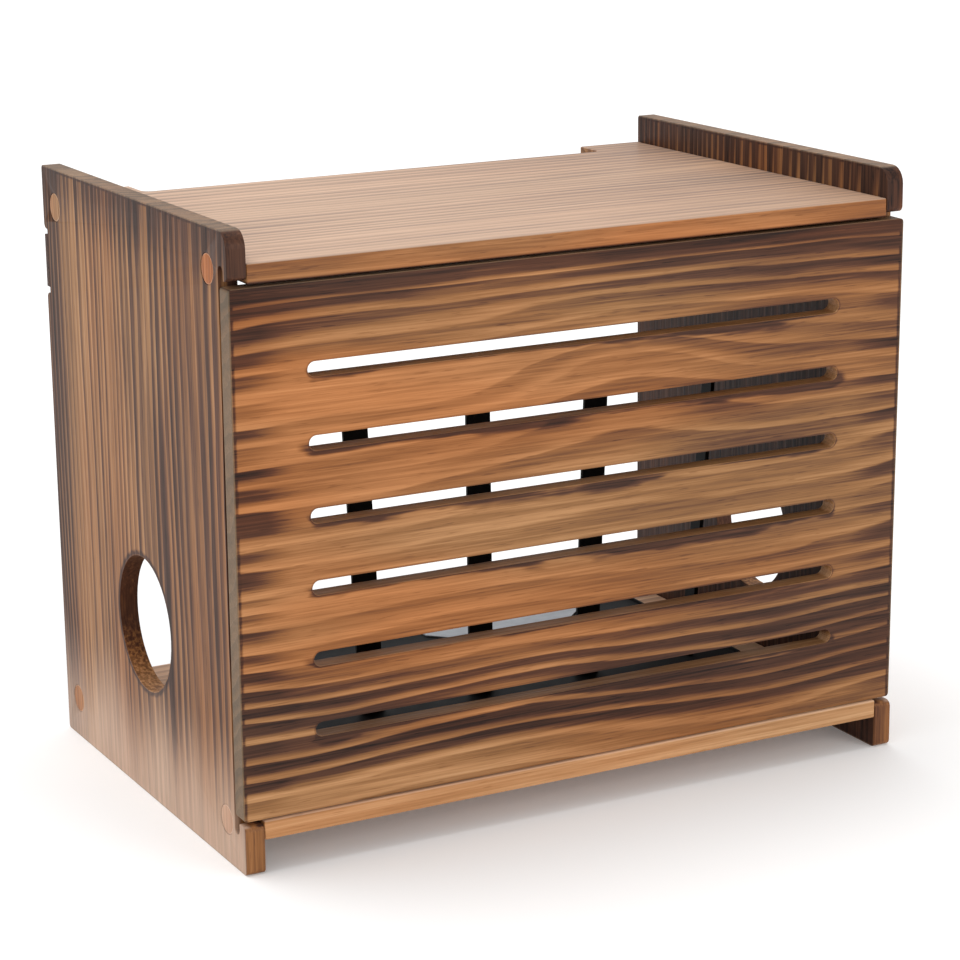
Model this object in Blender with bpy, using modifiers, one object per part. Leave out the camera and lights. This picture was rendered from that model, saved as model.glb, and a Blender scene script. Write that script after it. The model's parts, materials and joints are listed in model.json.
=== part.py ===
"""Slotted pine hay rack feeder: a box of torched boards, open at the back, with a lift-off slotted
front and a black steel hay rack and tray that draws out of the back. Metres, +Z up, front towards -Y,
origin on the floor under the middle of the box."""

import math

import bmesh
import bpy
from mathutils import Vector

# Driving dimensions, in metres.
BOX_WIDTH = 0.480
SIDE_DEPTH = 0.317
SIDE_HEIGHT = 0.400
BOARD = 0.0125
GAP = 0.0003
EASED_EDGE = 0.0010

TOP_LIP = 0.0197
FLOOR_LIFT = 0.0218
EAR_CORNER_RADIUS = 0.0115
BACK_CORNER_RADIUS = 0.0025
FOOT_CORNER_RADIUS = 0.0040

SEAT_PLAY = 0.0024
PANEL_TOP_GAP = 0.0016
PANEL_PROUD = 0.0014
PANEL_SETBACK = 0.0025
SEAT_BACK_PLAY = 0.0020
SEAT_MOUTH_RADIUS = 0.0042
SEAT_CORNER_RADIUS = 0.0012
RELIEF_WIDTH = 0.0072
RELIEF_END_FLAT = 0.00014
RELIEF_RISE = 0.0085
PANEL_CORNER_RADIUS = 0.0025

SLOT_COUNT = 6
SLOT_HEIGHT = 0.0095
SLOT_END_MARGIN = 0.0495
TOP_SLOT_DROP = 0.0530
BOTTOM_SLOT_RISE = 0.0516

SIDE_HOLE_DIAMETER = 0.090
SIDE_HOLE_HEIGHT = 0.120

BACK_NOTCH_DEPTH = 0.029
BACK_NOTCH_TAB = 0.0495
BACK_NOTCH_RADIUS = 0.006

RAIL_HEIGHT = 0.036
RAIL_THICKNESS = 0.0055
RAIL_DROP = 0.0148
RAIL_NOTCH_PLAY = 0.0040
RAIL_NOTCH_MOUTH = 0.0038

PLUG_DIAMETER = 0.019
PLUG_THICKNESS = 0.0057
PLUG_FRONT_INSET = 0.0295
PLUG_BACK_INSET = 0.0230
SCREW_DIAMETER = 0.0042
SCREW_HEAD_DIAMETER = 0.0084
SCREW_HEAD_HEIGHT = 0.0028
SCREW_LENGTH = 0.040
RAIL_SCREW_LENGTH = 0.025
RAIL_SCREW_SPACING = 0.020

MAGNET_DIAMETER = 0.008
MAGNET_THICKNESS = 0.003
KEEPER_THICKNESS = 0.0015
MAGNET_END_INSET = 0.045

TRAY_LEFT_ROOM = 0.0535
TRAY_RIGHT_ROOM = 0.0275
TRAY_DEPTH = 0.167
TRAY_WALL_HEIGHT = 0.004
TRAY_SHEET = 0.0015
TRAY_BACK_INSET = 0.028
TRAY_CORNER_RADIUS = 0.006

BAR_COUNT = 5
END_BAR_INSET = 0.007
BAR_SPLAY = 0.0088
BAR_WIDTH = 0.018
END_BAR_WIDTH = 0.0125
BAR_THICKNESS = 0.003
BAR_FRONT_INSET = 0.0245
RACK_RAIL_HEIGHT = 0.018
RACK_HEAD_ROOM = 0.0503

LINER_WIDTH = 0.128
LINER_DEPTH = 0.026
LINER_SHEET = 0.0012
LINER_CHAMFER = 0.014
LINER_END_INSET = 0.0485
LINER_BACK_INSET = 0.001

# Places that follow from them.
FRONT_Y = (PANEL_PROUD - SIDE_DEPTH) / 2
BACK_Y = FRONT_Y + SIDE_DEPTH
HALF_WIDTH = BOX_WIDTH / 2
INSIDE_WIDTH = BOX_WIDTH - 2 * BOARD
TOP_BOARD_TOP = SIDE_HEIGHT - TOP_LIP
TOP_BOARD_UNDER = TOP_BOARD_TOP - BOARD
FLOOR_TOP = FLOOR_LIFT + BOARD
PANEL_BOTTOM = FLOOR_TOP + GAP
PANEL_TOP = TOP_BOARD_UNDER - PANEL_TOP_GAP
PANEL_HEIGHT = PANEL_TOP - PANEL_BOTTOM
PANEL_LEAN = math.atan((PANEL_PROUD + PANEL_SETBACK) / PANEL_HEIGHT)
SLOT_PITCH = (PANEL_HEIGHT - TOP_SLOT_DROP - BOTTOM_SLOT_RISE) / (SLOT_COUNT - 1)
SEAT_BOTTOM = FLOOR_TOP - SEAT_PLAY
SEAT_TOP = TOP_BOARD_UNDER + SEAT_PLAY
SEAT_DEPTH = BOARD + SEAT_BACK_PLAY
RELIEF_CORNER_RADIUS = (RELIEF_WIDTH - RELIEF_END_FLAT) / 2
MAGNET_PROUD = SEAT_BACK_PLAY - GAP
RAIL_TOP = TOP_BOARD_UNDER - RAIL_DROP
RAIL_BOTTOM = RAIL_TOP - RAIL_HEIGHT
SCREW_ROWS = {"top": TOP_BOARD_UNDER + BOARD / 2, "bottom": FLOOR_LIFT + BOARD / 2}
SCREW_COLUMNS = {"front": FRONT_Y + PLUG_FRONT_INSET, "back": BACK_Y - PLUG_BACK_INSET}
PLUG_POCKET = PLUG_THICKNESS + GAP
TRAY_LEFT = TRAY_LEFT_ROOM - INSIDE_WIDTH / 2
TRAY_RIGHT = INSIDE_WIDTH / 2 - TRAY_RIGHT_ROOM
TRAY_BOTTOM = FLOOR_TOP + GAP
TRAY_BACK = BACK_Y - TRAY_BACK_INSET
TRAY_FRONT = TRAY_BACK - TRAY_DEPTH
TRAY_FLOOR = TRAY_BOTTOM + TRAY_SHEET
BAR_Y = TRAY_FRONT + BAR_FRONT_INSET
BAR_FOOT = TRAY_FLOOR + GAP
MIDDLE_BAR = (BAR_COUNT - 1) / 2
BAR_PITCH = -(TRAY_LEFT + END_BAR_INSET) / MIDDLE_BAR
RACK_RAIL_FOOT = RAIL_BOTTOM - RACK_HEAD_ROOM - RACK_RAIL_HEIGHT
BAR_HEIGHT = RACK_RAIL_FOOT - GAP - BAR_FOOT
LINER_BACK = TRAY_BACK - TRAY_SHEET - LINER_BACK_INSET
LINER_MIDDLE = TRAY_RIGHT - TRAY_SHEET - LINER_END_INSET - LINER_WIDTH / 2
SIDES = {"left": -1, "right": 1}

# How the meshes are made.
MERGE_DISTANCE = 0.00001
FLAT_ANGLE = math.radians(0.05)
SHARP_ANGLE = math.radians(30)
EASED_ANGLE = math.radians(50)

for old in list(bpy.data.objects):
    bpy.data.objects.remove(old, do_unlink=True)

parts = bpy.data.collections.new("hay_rack_feeder")
cutters = bpy.data.collections.new("cutters")
bpy.context.scene.collection.children.link(parts)
bpy.context.scene.collection.children.link(cutters)


def finish(name, colour, roughness, metallic=0.0):
    """A plain Principled material, made once for each name."""
    found = bpy.data.materials.get(name)
    if found:
        return found
    made = bpy.data.materials.new(name)
    made.use_nodes = True
    shader = made.node_tree.nodes["Principled BSDF"]
    shader.inputs["Base Color"].default_value = (*colour, 1.0)
    shader.inputs["Roughness"].default_value = roughness
    shader.inputs["Metallic"].default_value = metallic
    made.diffuse_color = (*colour, 1.0)
    return made


def torched_pine():
    return finish("torched_pine", (0.32, 0.16, 0.075), 0.42)


def plug_pine():
    return finish("plug_pine", (0.55, 0.24, 0.10), 0.40)


def charred_rail():
    return finish("charred_rail", (0.035, 0.028, 0.025), 0.55)


def black_steel():
    return finish("black_steel", (0.012, 0.012, 0.013), 0.45, 0.6)


def pale_liner():
    return finish("pale_liner", (0.55, 0.57, 0.58), 0.40, 0.5)


def zinc_steel():
    return finish("zinc_steel", (0.62, 0.60, 0.52), 0.35, 1.0)


def part(name, mesh, material, collection=parts):
    """An object for a mesh, in the parts' collection unless another is named."""
    made = bpy.data.objects.new(name, mesh)
    collection.objects.link(made)
    if material:
        mesh.materials.append(material)
    return made


def box_mesh(name, low, high):
    """A box between two corners, given about the object's own origin."""
    mesh = bpy.data.meshes.new(name)
    shape = bmesh.new()
    bmesh.ops.create_cube(shape, size=1.0)
    low, high = Vector(low), Vector(high)
    bmesh.ops.scale(shape, vec=high - low, verts=shape.verts)
    bmesh.ops.translate(shape, vec=(high + low) / 2, verts=shape.verts)
    shape.to_mesh(mesh)
    shape.free()
    return mesh


def turned_mesh(name, profile, start, along, steps=16):
    """A solid of revolution: (distance, radius) points turned round the line from start."""
    mesh = bpy.data.meshes.new(name)
    shape = bmesh.new()
    points = [shape.verts.new((radius, 0, distance)) for distance, radius in profile]
    edges = [shape.edges.new(pair) for pair in zip(points, points[1:])]
    bmesh.ops.spin(
        shape,
        geom=points + edges,
        cent=(0, 0, 0),
        axis=(0, 0, 1),
        angle=math.tau,
        steps=steps,
        use_merge=True,
    )
    bmesh.ops.remove_doubles(shape, verts=shape.verts, dist=MERGE_DISTANCE)
    bmesh.ops.recalc_face_normals(shape, faces=shape.faces)
    turn = Vector(along).to_track_quat("Z", "Y").to_matrix()
    bmesh.ops.rotate(shape, cent=(0, 0, 0), matrix=turn, verts=shape.verts)
    bmesh.ops.translate(shape, vec=start, verts=shape.verts)
    shape.to_mesh(mesh)
    shape.free()
    return mesh


def soften(made):
    """Shades the round faces smooth and keeps the sharp edges sharp."""
    made.data.shade_smooth()
    made.data.set_sharp_from_angle(angle=SHARP_ANGLE)


def slab(name, outlines, thickness, collection=parts, material=None):
    """Flat closed outlines in the XY plane, the later ones holes in the first, given thickness along Z."""
    curve = bpy.data.curves.new(name, "CURVE")
    curve.dimensions = "2D"
    curve.fill_mode = "BOTH"
    curve.extrude = thickness / 2
    for outline in outlines:
        spline = curve.splines.new("POLY")
        spline.points.add(len(outline) - 1)
        for point, (x, y) in zip(spline.points, outline):
            point.co = (x, y, 0, 1)
        spline.use_cyclic_u = True
    drawn = bpy.data.objects.new(name + "_outline", curve)
    bpy.context.scene.collection.objects.link(drawn)
    seen = drawn.evaluated_get(bpy.context.evaluated_depsgraph_get())
    mesh = bpy.data.meshes.new_from_object(seen)
    shape = bmesh.new()
    shape.from_mesh(mesh)
    bmesh.ops.remove_doubles(shape, verts=shape.verts, dist=MERGE_DISTANCE)
    bmesh.ops.dissolve_limit(shape, angle_limit=FLAT_ANGLE, verts=shape.verts, edges=shape.edges)
    shape.to_mesh(mesh)
    shape.free()
    made = part(name, mesh, material, collection)
    made.matrix_world = drawn.matrix_world
    bpy.data.objects.remove(drawn)
    return made


def rounded(corners, steps=6):
    """An outline through corners given as (x, y, radius), each one rounded by an arc of that radius."""
    points = []
    for i, (x, y, radius) in enumerate(corners):
        here = Vector((x, y))
        before = (Vector(corners[i - 1][:2]) - here).normalized()
        after = (Vector(corners[(i + 1) % len(corners)][:2]) - here).normalized()
        if radius == 0:
            points.append(tuple(here))
            continue
        half = before.angle(after) / 2
        centre = here + (before + after).normalized() * (radius / math.sin(half))
        start = here + before * (radius / math.tan(half)) - centre
        end = here + after * (radius / math.tan(half)) - centre
        sweep = start.angle_signed(end)
        for step in range(steps + 1):
            turn = -sweep * step / steps
            spoke = Vector((
                start.x * math.cos(turn) - start.y * math.sin(turn),
                start.x * math.sin(turn) + start.y * math.cos(turn),
            ))
            points.append(tuple(centre + spoke))
    return points


def circle(x, y, radius, steps=48):
    """A round outline."""
    angles = [math.tau * i / steps for i in range(steps)]
    return [(x + radius * math.cos(a), y + radius * math.sin(a)) for a in angles]


def cut(made, cutter):
    """Takes the cutter's shape out of the object."""
    step = made.modifiers.new("cut_" + cutter.name, "BOOLEAN")
    step.operation = "DIFFERENCE"
    step.solver = "EXACT"
    step.object = cutter


def turned_cutter(name, profile, start, along):
    """A turned shape that only cuts holes."""
    cutter = part(name, turned_mesh(name, profile, start, along), None, cutters)
    cutter.hide_render = True
    cutter.display_type = "WIRE"
    return cutter


def ease(made, width=EASED_EDGE):
    """Rounds the sharp edges over slightly, as sanding does."""
    step = made.modifiers.new("eased_edges", "BEVEL")
    step.width = width
    step.segments = 2
    step.limit_method = "ANGLE"
    step.angle_limit = EASED_ANGLE


def lean_point(x, out, up):
    """A place on the leaning front: out is forward of its face, up is along it from its lower edge."""
    y = FRONT_Y + PANEL_SETBACK - out * math.cos(PANEL_LEAN) - up * math.sin(PANEL_LEAN)
    z = PANEL_BOTTOM - out * math.sin(PANEL_LEAN) + up * math.cos(PANEL_LEAN)
    return Vector((x, y, z))


def carry(holder, *pieces):
    """Hangs pieces on an empty without moving them."""
    bpy.context.view_layer.update()
    for piece in pieces:
        piece.parent = holder
        piece.matrix_parent_inverse = holder.matrix_world.inverted()


def holder(name, place):
    """An empty that a moving body's pieces hang on."""
    made = bpy.data.objects.new(name, None)
    made.empty_display_size = 0.03
    made.location = place
    parts.objects.link(made)
    return made


def side_outline():
    """The side board as (depth, height): an ear above, a foot below, the leaning seat of the front between
    them with a router relief at each end, and the notch for the back rail."""
    seat_low = lean_point(0, -SEAT_DEPTH, SEAT_BOTTOM - RELIEF_RISE - PANEL_BOTTOM)
    seat_high = lean_point(0, -SEAT_DEPTH, SEAT_TOP + RELIEF_RISE - PANEL_BOTTOM)
    rail_low = RAIL_BOTTOM - RAIL_NOTCH_PLAY
    rail_high = RAIL_TOP + RAIL_NOTCH_PLAY
    notch_y = BACK_Y - RAIL_THICKNESS - GAP
    return rounded([
        (FRONT_Y, 0, FOOT_CORNER_RADIUS),
        (BACK_Y, 0, BACK_CORNER_RADIUS),
        (BACK_Y, rail_low, RAIL_NOTCH_MOUTH),
        (notch_y, rail_low, SEAT_CORNER_RADIUS),
        (notch_y, rail_high, SEAT_CORNER_RADIUS),
        (BACK_Y, rail_high, RAIL_NOTCH_MOUTH),
        (BACK_Y, SIDE_HEIGHT, BACK_CORNER_RADIUS),
        (FRONT_Y, SIDE_HEIGHT, EAR_CORNER_RADIUS),
        (FRONT_Y, SEAT_TOP, SEAT_MOUTH_RADIUS),
        (seat_high.y - RELIEF_WIDTH, SEAT_TOP, SEAT_CORNER_RADIUS),
        (seat_high.y - RELIEF_WIDTH, seat_high.z, RELIEF_CORNER_RADIUS),
        (seat_high.y, seat_high.z, RELIEF_CORNER_RADIUS),
        (seat_low.y, seat_low.z, RELIEF_CORNER_RADIUS),
        (seat_low.y - RELIEF_WIDTH, seat_low.z, RELIEF_CORNER_RADIUS),
        (seat_low.y - RELIEF_WIDTH, SEAT_BOTTOM, SEAT_CORNER_RADIUS),
        (FRONT_Y, SEAT_BOTTOM, SEAT_MOUTH_RADIUS),
    ])


def magnet_places():
    """Each magnet's name, side and place, up the leaning seat."""
    for side, sign in SIDES.items():
        for level, up in {"lower": MAGNET_END_INSET, "upper": PANEL_HEIGHT - MAGNET_END_INSET}.items():
            yield f"{side}_{level}", side, sign * (HALF_WIDTH - BOARD / 2), up


def case_screw_places():
    """Each case screw's name, side, board and place on the outer face."""
    for side, sign in SIDES.items():
        for row, z in SCREW_ROWS.items():
            for column, y in SCREW_COLUMNS.items():
                yield f"{side}_{row}_{column}", side, row, Vector((sign * HALF_WIDTH, y, z))


def rail_screw_places():
    """Each rail screw's name, side and place on the rail's back face."""
    middle = (RAIL_BOTTOM + RAIL_TOP) / 2
    for side, sign in SIDES.items():
        for level, rise in {"lower": -RAIL_SCREW_SPACING / 2, "upper": RAIL_SCREW_SPACING / 2}.items():
            place = Vector((sign * (HALF_WIDTH - BOARD / 2), BACK_Y, middle + rise))
            yield f"{side}_{level}", side, place


def disc_profile(thickness, radius, rim=0.0):
    """A flat round piece, with its first rim eased."""
    eased = [(0, radius - rim), (rim, radius)] if rim else [(0, radius)]
    return [(0, 0), *eased, (thickness, radius), (thickness, 0)]


def screw_profile(length):
    """A countersunk screw from its head's flat face to its point."""
    radius = SCREW_DIAMETER / 2
    head = SCREW_HEAD_DIAMETER / 2
    return [(0, 0), (0, head), (SCREW_HEAD_HEIGHT, radius), (length - 2 * radius, radius), (length, 0)]


def screw_hole_profile(length, mouth_depth, mouth_radius):
    """The hole for that screw with the gap all round, and a wider mouth in front of its head."""
    radius = SCREW_DIAMETER / 2 + GAP
    head = SCREW_HEAD_DIAMETER / 2 + GAP
    return [
        (-mouth_depth, 0),
        (-mouth_depth, mouth_radius),
        (-GAP, mouth_radius),
        (-GAP, head),
        (SCREW_HEAD_HEIGHT, radius),
        (length + GAP, radius),
        (length + GAP, 0),
    ]


# Side boards: upright grain, one each end, holding every other board.
side_panels = {}
for side, sign in SIDES.items():
    outlines = [side_outline(), circle(0, SIDE_HOLE_HEIGHT, SIDE_HOLE_DIAMETER / 2)]
    panel = slab(f"side_panel_{side}", outlines, BOARD, parts, torched_pine())
    panel.rotation_euler = (math.pi / 2, 0, math.pi / 2)
    panel.location.x = sign * (HALF_WIDTH - BOARD / 2)
    ease(panel)
    side_panels[side] = panel

# Top board, set down between the sides, with a long notch in its back edge.
half = INSIDE_WIDTH / 2 - GAP
notch_end = half - BACK_NOTCH_TAB
top_board = slab("top_board", [rounded([
    (-half, FRONT_Y, 0),
    (half, FRONT_Y, 0),
    (half, BACK_Y, 0),
    (notch_end, BACK_Y, 0),
    (notch_end, BACK_Y - BACK_NOTCH_DEPTH, BACK_NOTCH_RADIUS),
    (-notch_end, BACK_Y - BACK_NOTCH_DEPTH, BACK_NOTCH_RADIUS),
    (-notch_end, BACK_Y, 0),
    (-half, BACK_Y, 0),
])], BOARD, parts, torched_pine())
top_board.location.z = TOP_BOARD_UNDER + BOARD / 2
ease(top_board)

# Bottom board, raised on the side boards' feet.
low = Vector((-half, FRONT_Y, FLOOR_LIFT))
high = Vector((half, BACK_Y, FLOOR_TOP))
bottom_board = part("bottom_board", box_mesh("bottom_board", low, high), torched_pine())
ease(bottom_board)
shelves = {"top": top_board, "bottom": bottom_board}

# Back rail, let into both sides' back edges and screwed to them.
low = Vector((-HALF_WIDTH, BACK_Y - RAIL_THICKNESS, RAIL_BOTTOM))
high = Vector((HALF_WIDTH, BACK_Y, RAIL_TOP))
back_rail = part("back_rail", box_mesh("back_rail", low, high), charred_rail())
ease(back_rail, EASED_EDGE / 2)

for name, side, place in rail_screw_places():
    inward = Vector((0, -1, 0))
    mesh = turned_mesh(f"rail_screw_{name}", screw_profile(RAIL_SCREW_LENGTH), place + inward * GAP, inward)
    soften(part(mesh.name, mesh, zinc_steel()))
    mouth = SCREW_HEAD_DIAMETER / 2 + 2 * GAP
    profile = screw_hole_profile(RAIL_SCREW_LENGTH, BOARD, mouth)
    hole = turned_cutter(f"rail_hole_{name}", profile, place + inward * GAP, inward)
    cut(back_rail, hole)
    cut(side_panels[side], hole)

# Case screws through the sides into the ends of the top and bottom boards, each under a pine plug.
for name, side, row, place in case_screw_places():
    inward = Vector((-SIDES[side], 0, 0))
    head_face = place + inward * (PLUG_POCKET + GAP)
    mesh = turned_mesh(f"case_screw_{name}", screw_profile(SCREW_LENGTH), head_face, inward)
    soften(part(mesh.name, mesh, zinc_steel()))
    profile = screw_hole_profile(SCREW_LENGTH, 2 * BOARD, PLUG_DIAMETER / 2 + GAP)
    hole = turned_cutter(f"case_hole_{name}", profile, head_face, inward)
    cut(side_panels[side], hole)
    cut(shelves[row], hole)
    profile = disc_profile(PLUG_THICKNESS, PLUG_DIAMETER / 2, GAP)
    soften(part(f"plug_{name}", turned_mesh(f"plug_{name}", profile, place, inward, 32), plug_pine()))

# Slotted front: one board across both sides, which leans a little and is held by magnets alone.
slots = []
for i in range(SLOT_COUNT):
    y = BOTTOM_SLOT_RISE + i * SLOT_PITCH
    x = HALF_WIDTH - SLOT_END_MARGIN
    r = SLOT_HEIGHT / 2
    slots.append(rounded([(-x, y - r, r), (x, y - r, r), (x, y + r, r), (-x, y + r, r)]))
corner = PANEL_CORNER_RADIUS
face = rounded([
    (-HALF_WIDTH, 0, corner),
    (HALF_WIDTH, 0, corner),
    (HALF_WIDTH, PANEL_HEIGHT, corner),
    (-HALF_WIDTH, PANEL_HEIGHT, corner),
], 4)
front_panel = slab("front_panel", [face, *slots], BOARD, parts, torched_pine())
front_panel.rotation_euler.x = math.pi / 2 + PANEL_LEAN
front_panel.location = lean_point(0, -BOARD / 2, 0)
ease(front_panel)
front_pieces = [front_panel]

for name, side, x, up in magnet_places():
    radius = MAGNET_DIAMETER / 2
    seat = lean_point(x, -SEAT_DEPTH, up)
    into = (lean_point(x, -1, up) - lean_point(x, 0, up)).normalized()
    near = seat - into * MAGNET_PROUD
    mesh = turned_mesh(f"magnet_{name}", disc_profile(MAGNET_THICKNESS, radius), near, into)
    soften(part(mesh.name, mesh, zinc_steel()))
    profile = disc_profile(BOARD + MAGNET_THICKNESS + GAP, radius + GAP)
    cut(side_panels[side], turned_cutter(f"magnet_pocket_{name}", profile, near - into * BOARD, into))
    back = lean_point(x, -BOARD, up)
    mesh = turned_mesh(f"keeper_{name}", disc_profile(KEEPER_THICKNESS, radius), back, -into)
    keeper = part(mesh.name, mesh, zinc_steel())
    soften(keeper)
    profile = disc_profile(BOARD + KEEPER_THICKNESS + GAP, radius + GAP)
    cut(front_panel, turned_cutter(f"keeper_pocket_{name}", profile, back + into * BOARD, -into))
    front_pieces.append(keeper)

carry(holder("front_panel_pull", lean_point(0, 0, PANEL_HEIGHT / 2)), *front_pieces)

# Tray: a shallow pan folded from black sheet, that slides on the bottom board. It reaches further right
# than left.
tray_across = (TRAY_LEFT + TRAY_RIGHT) / 2
tray_middle = (TRAY_BACK + TRAY_FRONT) / 2


def tray_outline(inset):
    """The tray seen from above, or its inside when it is given the sheet's thickness."""
    x = (TRAY_RIGHT - TRAY_LEFT) / 2 - inset
    y = TRAY_DEPTH / 2 - inset
    r = TRAY_CORNER_RADIUS - inset
    return rounded([(-x, -y, r), (x, -y, r), (x, y, r), (-x, y, r)], 4)


tray = slab("hay_tray", [tray_outline(0)], TRAY_WALL_HEIGHT, parts, black_steel())
tray.location = (tray_across, tray_middle, TRAY_BOTTOM + TRAY_WALL_HEIGHT / 2)
hollow = slab("tray_hollow", [tray_outline(TRAY_SHEET)], TRAY_WALL_HEIGHT, cutters)
hollow.location = (tray_across, tray_middle, TRAY_FLOOR + TRAY_WALL_HEIGHT / 2)
hollow.hide_render = True
hollow.display_type = "WIRE"
cut(tray, hollow)
rack_pieces = [tray]

# Hay rack: flat bars that stand in the tray and fan out a little towards the rail across their tops.
for i in range(BAR_COUNT):
    step = i - MIDDLE_BAR
    at_end = abs(step) == MIDDLE_BAR
    across = (BAR_THICKNESS if at_end else BAR_WIDTH) / 2
    foot = step * BAR_PITCH
    head = step * (BAR_PITCH + BAR_SPLAY)
    deep = END_BAR_WIDTH if at_end else BAR_THICKNESS
    outline = [
        (foot - across, 0),
        (foot + across, 0),
        (head + across, BAR_HEIGHT),
        (head - across, BAR_HEIGHT),
    ]
    bar = slab(f"rack_bar_{i + 1}", [outline], deep, parts, black_steel())
    bar.rotation_euler.x = math.pi / 2
    bar.location = (0, BAR_Y, BAR_FOOT)
    rack_pieces.append(bar)

reach = MIDDLE_BAR * (BAR_PITCH + BAR_SPLAY) + END_BAR_WIDTH
low = Vector((-reach, BAR_Y - BAR_THICKNESS / 2, RACK_RAIL_FOOT))
high = Vector((reach, BAR_Y + BAR_THICKNESS / 2, RACK_RAIL_FOOT + RACK_RAIL_HEIGHT))
rack_rail = part("rack_top_rail", box_mesh("rack_top_rail", low, high), black_steel())
ease(rack_rail, EASED_EDGE / 2)
rack_pieces.append(rack_rail)

# Liner: a pale plate with cut-off front corners, loose on the tray's floor behind the bars.
x = LINER_WIDTH / 2
liner = slab("tray_liner", [[
    (-x + LINER_CHAMFER, 0),
    (x - LINER_CHAMFER, 0),
    (x, LINER_CHAMFER),
    (x, LINER_DEPTH),
    (-x, LINER_DEPTH),
    (-x, LINER_CHAMFER),
]], LINER_SHEET, parts, pale_liner())
liner.location = (LINER_MIDDLE, LINER_BACK - LINER_DEPTH, TRAY_FLOOR + GAP + LINER_SHEET / 2)
rack_pieces.append(liner)

carry(holder("hay_rack_slide", (0, tray_middle, TRAY_BOTTOM)), *rack_pieces)
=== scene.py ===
"""Looks of the hay rack feeder: a torched and clear-coated pine box with a slotted front that pulls off,
and a black steel rack and tray that slide out of its open back. Metres, +Z up, front towards -Y."""

import json
import math

import bmesh
import bpy
from mathutils import Matrix, Vector

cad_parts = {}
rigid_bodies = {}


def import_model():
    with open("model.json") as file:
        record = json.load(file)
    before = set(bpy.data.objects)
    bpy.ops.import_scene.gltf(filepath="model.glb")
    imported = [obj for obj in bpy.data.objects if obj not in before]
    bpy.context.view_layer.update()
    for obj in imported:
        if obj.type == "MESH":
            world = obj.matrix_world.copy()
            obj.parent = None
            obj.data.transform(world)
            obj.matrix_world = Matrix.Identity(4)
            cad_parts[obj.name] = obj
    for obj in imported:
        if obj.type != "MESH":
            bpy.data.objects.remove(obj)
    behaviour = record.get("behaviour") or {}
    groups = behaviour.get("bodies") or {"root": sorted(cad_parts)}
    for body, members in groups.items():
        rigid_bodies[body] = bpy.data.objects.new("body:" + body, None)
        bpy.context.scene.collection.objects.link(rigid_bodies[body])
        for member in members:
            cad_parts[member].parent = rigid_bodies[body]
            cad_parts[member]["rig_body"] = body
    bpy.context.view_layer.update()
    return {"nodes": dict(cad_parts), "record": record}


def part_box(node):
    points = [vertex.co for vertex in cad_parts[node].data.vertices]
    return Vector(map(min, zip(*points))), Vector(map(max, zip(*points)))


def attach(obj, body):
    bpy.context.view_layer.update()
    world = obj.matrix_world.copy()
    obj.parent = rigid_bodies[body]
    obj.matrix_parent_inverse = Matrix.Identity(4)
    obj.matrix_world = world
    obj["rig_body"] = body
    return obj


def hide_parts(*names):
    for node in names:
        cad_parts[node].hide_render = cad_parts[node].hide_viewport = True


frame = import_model()

# ---------------------------------------------------------------------------------------------------
# Studio. The feeder stands on a seamless white floor under wide soft lights, which leave only a short
# grey shadow under the bottom board. The camera looks at its front left corner from a little above.
# ---------------------------------------------------------------------------------------------------
EYE = Vector((-0.86872, -1.67207, 0.67761))
EYE_TURN = math.radians(27.681)
EYE_DIP = math.radians(14.635)
EYE_ROLL = math.radians(-0.709)
LENS_LENGTH = 107.06
LENS_SHIFT = -0.0017
SENSOR_WIDTH = 36.0
NEAREST = 0.05
FURTHEST = 60.0

FRONT_LIGHT_PLACE = Vector((1.1, -2.6, 1.2))
FRONT_LIGHT_TARGET = Vector((0.0, -0.1, 0.2))
FRONT_LIGHT_SIZE = 1.4
FRONT_LIGHT_WATTS = 19.0
CEILING_LIGHT_STRENGTH = 1.75
CEILING_LIGHT_SPREAD = math.radians(50)
CEILING_LIGHT_TURN = (math.radians(-14), math.radians(-9), 0.0)
ROOM_LIGHT_STRENGTH = 0.62

WHITE = (1.0, 1.0, 1.0, 1.0)
PAPER_COLOUR = (0.93, 0.93, 0.93, 1.0)
PAPER_ROUGHNESS = 0.9
PAPER_SHINE = 0.1
PAPER_GLOW = 0.10
FLOOR_REACH = 20.0

lens = bpy.data.cameras.new("eye")
lens.lens = LENS_LENGTH
lens.sensor_width = SENSOR_WIDTH
lens.shift_x = LENS_SHIFT
lens.shift_y = LENS_SHIFT
lens.clip_start = NEAREST
lens.clip_end = FURTHEST
eye = bpy.data.objects.new("eye", lens)
bpy.context.scene.collection.objects.link(eye)
facing = Matrix.Rotation(-EYE_TURN, 4, "Z") @ Matrix.Rotation(math.pi / 2 - EYE_DIP, 4, "X")
eye.matrix_world = Matrix.Translation(EYE) @ facing @ Matrix.Rotation(EYE_ROLL, 4, "Z")
bpy.context.scene.camera = eye
bpy.context.scene.view_settings.view_transform = "Standard"


def lamp(name, kind, strength):
    """A light of one kind, hung in the studio."""
    light = bpy.data.lights.new(name, kind)
    light.energy = strength
    hung = bpy.data.objects.new(name, light)
    bpy.context.scene.collection.objects.link(hung)
    return hung


front_light = lamp("front_light", "AREA", FRONT_LIGHT_WATTS)
front_light.data.size = FRONT_LIGHT_SIZE
front_light.location = FRONT_LIGHT_PLACE
towards_feeder = FRONT_LIGHT_TARGET - FRONT_LIGHT_PLACE
front_light.rotation_euler = towards_feeder.to_track_quat("-Z", "Y").to_euler()

ceiling_light = lamp("ceiling_light", "SUN", CEILING_LIGHT_STRENGTH)
ceiling_light.data.angle = CEILING_LIGHT_SPREAD
ceiling_light.rotation_euler = CEILING_LIGHT_TURN

room = bpy.data.worlds.new("studio")
room.use_nodes = True
room.node_tree.nodes["Background"].inputs["Color"].default_value = WHITE
room.node_tree.nodes["Background"].inputs["Strength"].default_value = ROOM_LIGHT_STRENGTH
bpy.context.scene.world = room

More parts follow.
